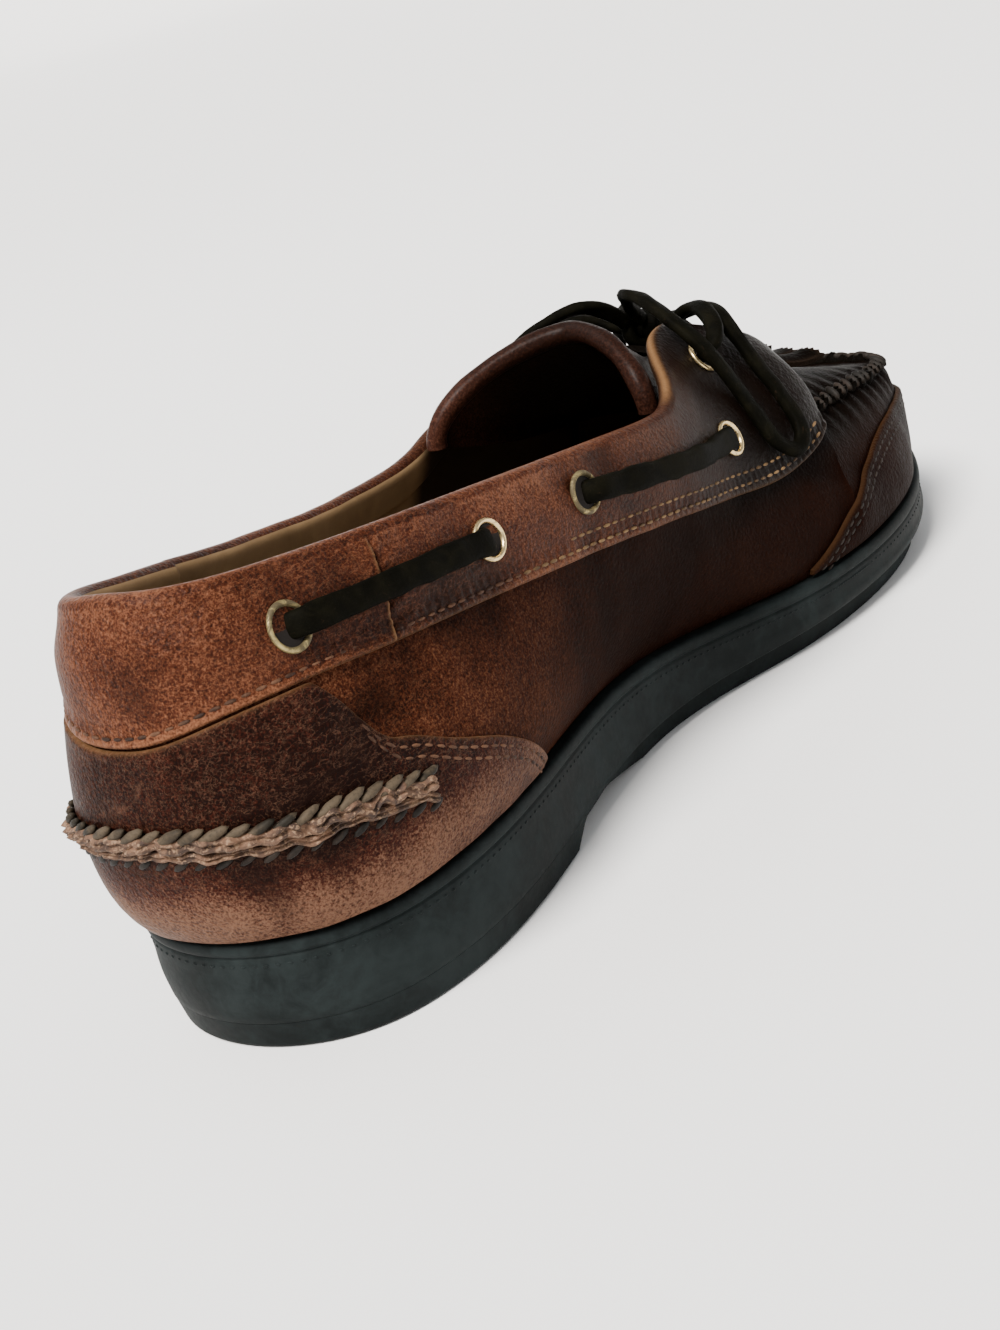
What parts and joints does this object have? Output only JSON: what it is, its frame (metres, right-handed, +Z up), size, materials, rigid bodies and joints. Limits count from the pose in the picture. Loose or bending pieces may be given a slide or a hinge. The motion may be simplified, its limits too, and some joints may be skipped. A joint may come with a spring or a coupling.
{
  "type": "kiltie moccasin loafer",
  "caption": "Left leather moccasin loafer with a fringed kiltie, a rawhide lace through brass eyelets tied in a bow, a whipped seam at toe and heel, and a black rubber cup sole.",
  "frame": {"origin": "centre of the heel's flat ground face", "axes": "+Z up, +Y from heel to toe, +X to the medial side of this left shoe"},
  "size_m": [0.0987, 0.3065, 0.0954],
  "materials": {
    "tread_rubber": "matte",
    "black_rubber": "satin, slightly scuffed",
    "footbed": "worn matte",
    "brown_leather": "waxed, mottled",
    "overlay_leather": "waxed, mottled, paler at edges",
    "tongue_leather": "glossy",
    "kiltie_leather": "waxed, nearly black",
    "whipped_seam": "waxed whip stitches over a raw edge",
    "antique_brass": "antique",
    "rawhide_lace": "waxed"
  },
  "bodies": {
    "root": {"outsole": "tread_rubber", "midsole": "black_rubber", "insole": "footbed", "upper": "brown_leather", "tongue": "tongue_leather", "collar_band": "overlay_leather", "heel_counter": "overlay_leather", "toe_guard": "overlay_leather", "moc_seam": "whipped_seam", "heel_braid": "whipped_seam", "kiltie": "kiltie_leather", "eyelet_medial_1": "antique_brass", "eyelet_medial_2": "antique_brass", "eyelet_medial_3": "antique_brass", "eyelet_medial_4": "antique_brass", "eyelet_medial_5": "antique_brass", "lace_medial_rear": "rawhide_lace", "lace_medial_front": "rawhide_lace", "eyelet_lateral_1": "antique_brass", "eyelet_lateral_2": "antique_brass", "eyelet_lateral_3": "antique_brass", "eyelet_lateral_4": "antique_brass", "eyelet_lateral_5": "antique_brass", "lace_lateral_rear": "rawhide_lace", "lace_lateral_front": "rawhide_lace", "lace_knot": "rawhide_lace", "lace_loop_medial": "rawhide_lace", "lace_loop_lateral": "rawhide_lace", "lace_end": "rawhide_lace", "lace_end_front": "rawhide_lace"}
  },
  "joints": []
}
